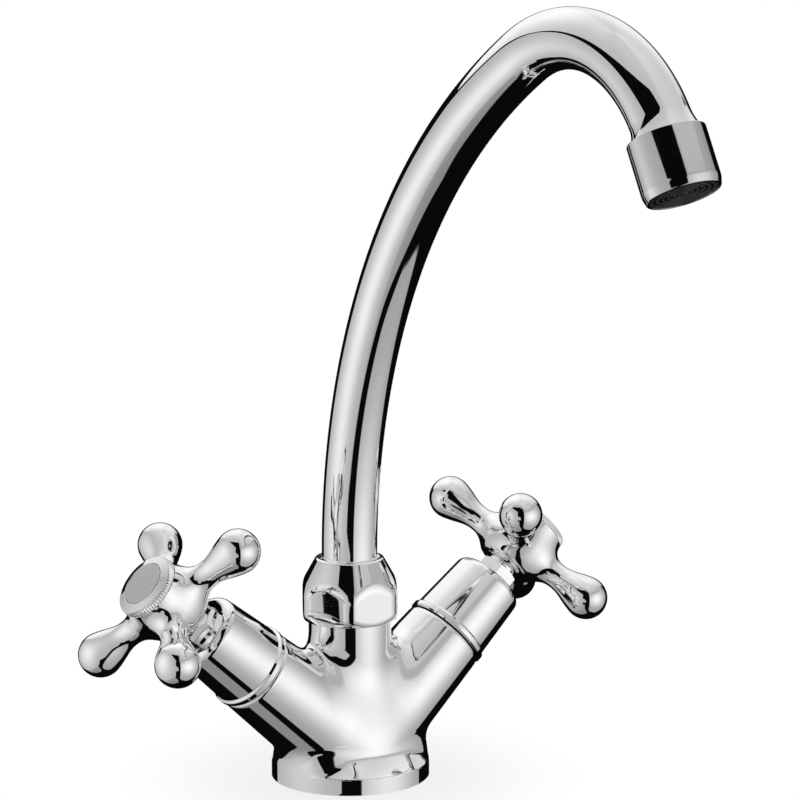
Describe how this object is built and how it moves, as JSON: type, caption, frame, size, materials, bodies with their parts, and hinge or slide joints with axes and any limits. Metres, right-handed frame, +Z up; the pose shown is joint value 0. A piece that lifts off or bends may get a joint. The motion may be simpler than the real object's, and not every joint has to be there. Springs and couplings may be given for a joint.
{
  "type": "two handle kitchen faucet",
  "caption": "Deck-mounted kitchen mixer tap with a V-shaped body, cross handles on slanted valves and a high swivelling swan-neck spout with an aerator.",
  "frame": {"origin": "centre of the foot's flat underside, on the deck", "axes": "+Z up along the spout's swivel axis; the spout points to -Y at rest; the valve arms lie in the XZ plane, hot towards -X and cold towards +X"},
  "size_m": [0.1791, 0.2052, 0.2549],
  "materials": {
    "chrome": "bright chrome plate on brass, mirror smooth",
    "index_chrome": "bright chrome button face, very finely turned",
    "brass": "machined brass",
    "rubber": "black rubber",
    "white_plastic": "white acetal",
    "dark_plastic": "dark grey moulded plastic",
    "steel": "stainless steel"
  },
  "bodies": {
    "faucet": {"base_seal": "rubber", "cold_gland_nut": "chrome", "cold_headwork": "chrome", "cold_headwork_seal": "rubber", "cold_packing_ring": "rubber", "cold_shroud": "chrome", "faucet_body": "chrome", "hot_gland_nut": "chrome", "hot_headwork": "chrome", "hot_headwork_seal": "rubber", "hot_packing_ring": "rubber", "hot_shroud": "chrome", "slip_ring_lower": "white_plastic", "spout_nut": "chrome"},
    "spout": {"aerator_diffuser": "dark_plastic", "aerator_housing": "dark_plastic", "aerator_screens": "steel", "aerator_shell": "chrome", "aerator_washer": "rubber", "nozzle_fitting": "brass", "slip_ring_upper": "white_plastic", "spigot_seal_lower": "rubber", "spigot_seal_upper": "rubber", "spout_spigot": "brass", "spout_tube": "chrome"},
    "hot_handle": {"hot_handle": "chrome", "hot_handle_screw": "steel", "hot_index_cap": "chrome", "hot_index_disc": "index_chrome", "hot_spindle": "brass", "hot_spindle_circlip": "steel", "hot_spindle_seals": "rubber"},
    "hot_plunger": {"hot_plunger": "brass", "hot_seat_washer": "rubber", "hot_washer_screw": "steel"},
    "cold_handle": {"cold_handle": "chrome", "cold_handle_screw": "steel", "cold_index_cap": "chrome", "cold_index_disc": "index_chrome", "cold_spindle": "brass", "cold_spindle_circlip": "steel", "cold_spindle_seals": "rubber"},
    "cold_plunger": {"cold_plunger": "brass", "cold_seat_washer": "rubber", "cold_washer_screw": "steel"}
  },
  "joints": [
    {"name": "spout_swivel", "type": "hinge", "parent": "faucet", "child": "spout", "pos_m": [0, 0, 0.06], "axis": [0, 0, 1], "continuous": true},
    {"name": "hot_handle_turn", "type": "hinge", "parent": "faucet", "child": "hot_handle", "pos_m": [0, 0, 0.0095], "axis": [-0.766, 0, 0.6428], "range_deg": [0, 900]},
    {"name": "hot_plunger_lift", "type": "slide", "parent": "faucet", "child": "hot_plunger", "axis": [-0.766, 0, 0.6428], "range_m": [0, 0.00501]},
    {"name": "cold_handle_turn", "type": "hinge", "parent": "faucet", "child": "cold_handle", "pos_m": [0, 0, 0.0095], "axis": [0.766, 0, 0.6428], "range_deg": [0, 900]},
    {"name": "cold_plunger_lift", "type": "slide", "parent": "faucet", "child": "cold_plunger", "axis": [0.766, 0, 0.6428], "range_m": [0, 0.00501]}
  ],
  "couplings": [
    {"joint": "hot_plunger_lift", "follows": "hot_handle_turn", "m_per_rad": 0.00031831},
    {"joint": "cold_plunger_lift", "follows": "cold_handle_turn", "m_per_rad": 0.00031831}
  ]
}
